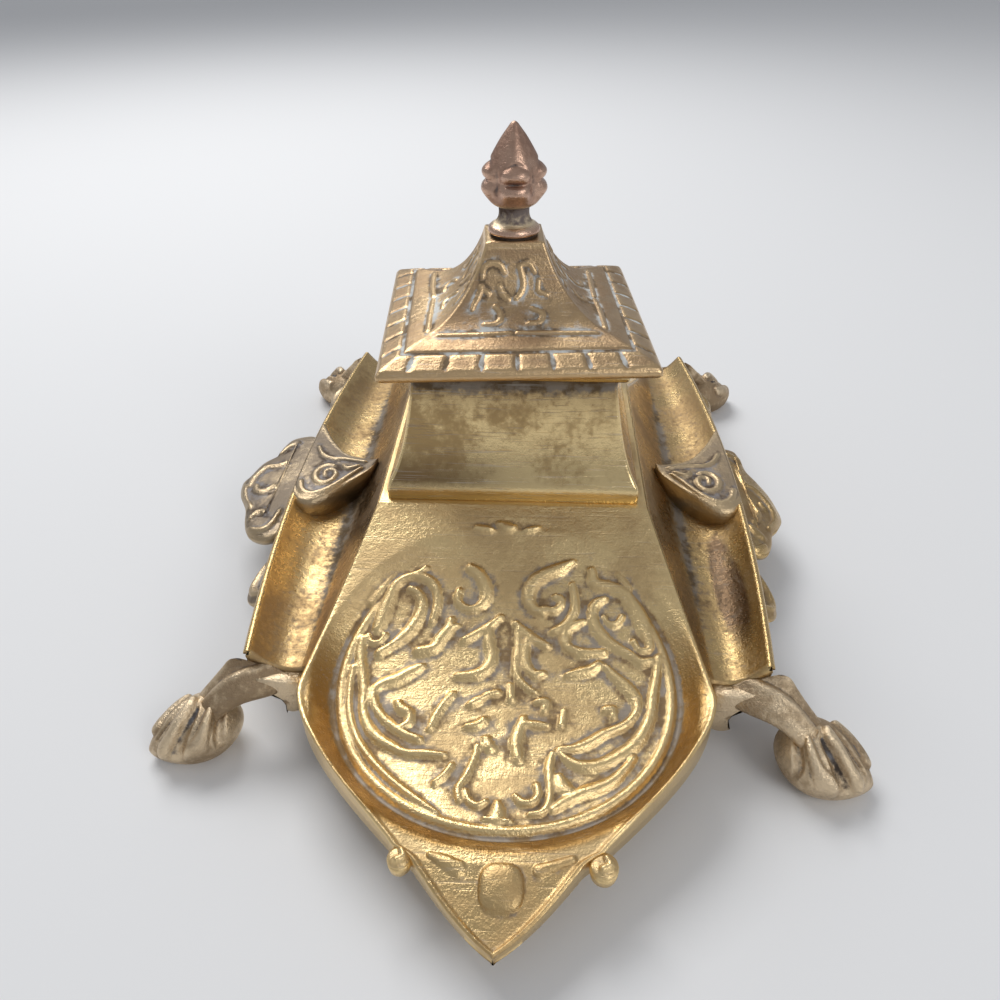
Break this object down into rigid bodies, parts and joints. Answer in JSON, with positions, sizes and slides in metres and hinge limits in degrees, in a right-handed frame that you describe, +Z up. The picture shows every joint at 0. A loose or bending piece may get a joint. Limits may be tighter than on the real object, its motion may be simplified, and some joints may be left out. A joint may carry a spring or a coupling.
{
  "type": "desk inkstand",
  "caption": "Cast brass desk inkstand with a hinged pyramid lid over a glass ink liner, two side pen troughs, a front dish and claw feet.",
  "frame": {"origin": "on the table, under the middle of the inkstand's overall box", "axes": "+Z up; +Y from the dish at the front towards the back; +X to the right as seen from the front"},
  "size_m": [0.1486, 0.2036, 0.1094],
  "materials": {
    "tray_brass": "polished brass with grey-blue polish residue in the cast relief",
    "stand_brass": "rubbed brass, brown in the hollows",
    "housing_brass": "polished brass with fine scratches",
    "lid_brass": "worn matt brass with pale residue in the relief",
    "foot_brass": "rough as-cast brass, rubbed bright on the claws",
    "finial_brass": "copper-brown patina",
    "screw_brass": "dull turned brass",
    "liner_glass": "clear pressed glass",
    "pad_felt": "thin green felt",
    "washer_leather": "dark leather washer"
  },
  "bodies": {
    "root": {"front_tray": "tray_brass", "rear_apron": "stand_brass", "left_wing": "stand_brass", "right_wing": "stand_brass", "foot_front_left": "foot_brass", "foot_front_right": "foot_brass", "foot_rear_left": "foot_brass", "foot_rear_right": "foot_brass", "foot_screws": "screw_brass", "wing_screws": "screw_brass", "apron_screws": "screw_brass", "well_housing": "housing_brass", "housing_screws": "screw_brass", "liner_pad": "pad_felt", "ink_liner": "liner_glass", "hinge_pin": "screw_brass"},
    "lid_body": {"lid": "lid_brass", "finial": "finial_brass", "finial_washer": "washer_leather", "finial_nut": "screw_brass"}
  },
  "joints": [
    {"name": "lid_hinge", "type": "hinge", "parent": "root", "child": "lid_body", "pos_m": [0, 0.04545, 0.0629], "axis": [-1, 0, 0], "range_deg": [0, 100]}
  ]
}
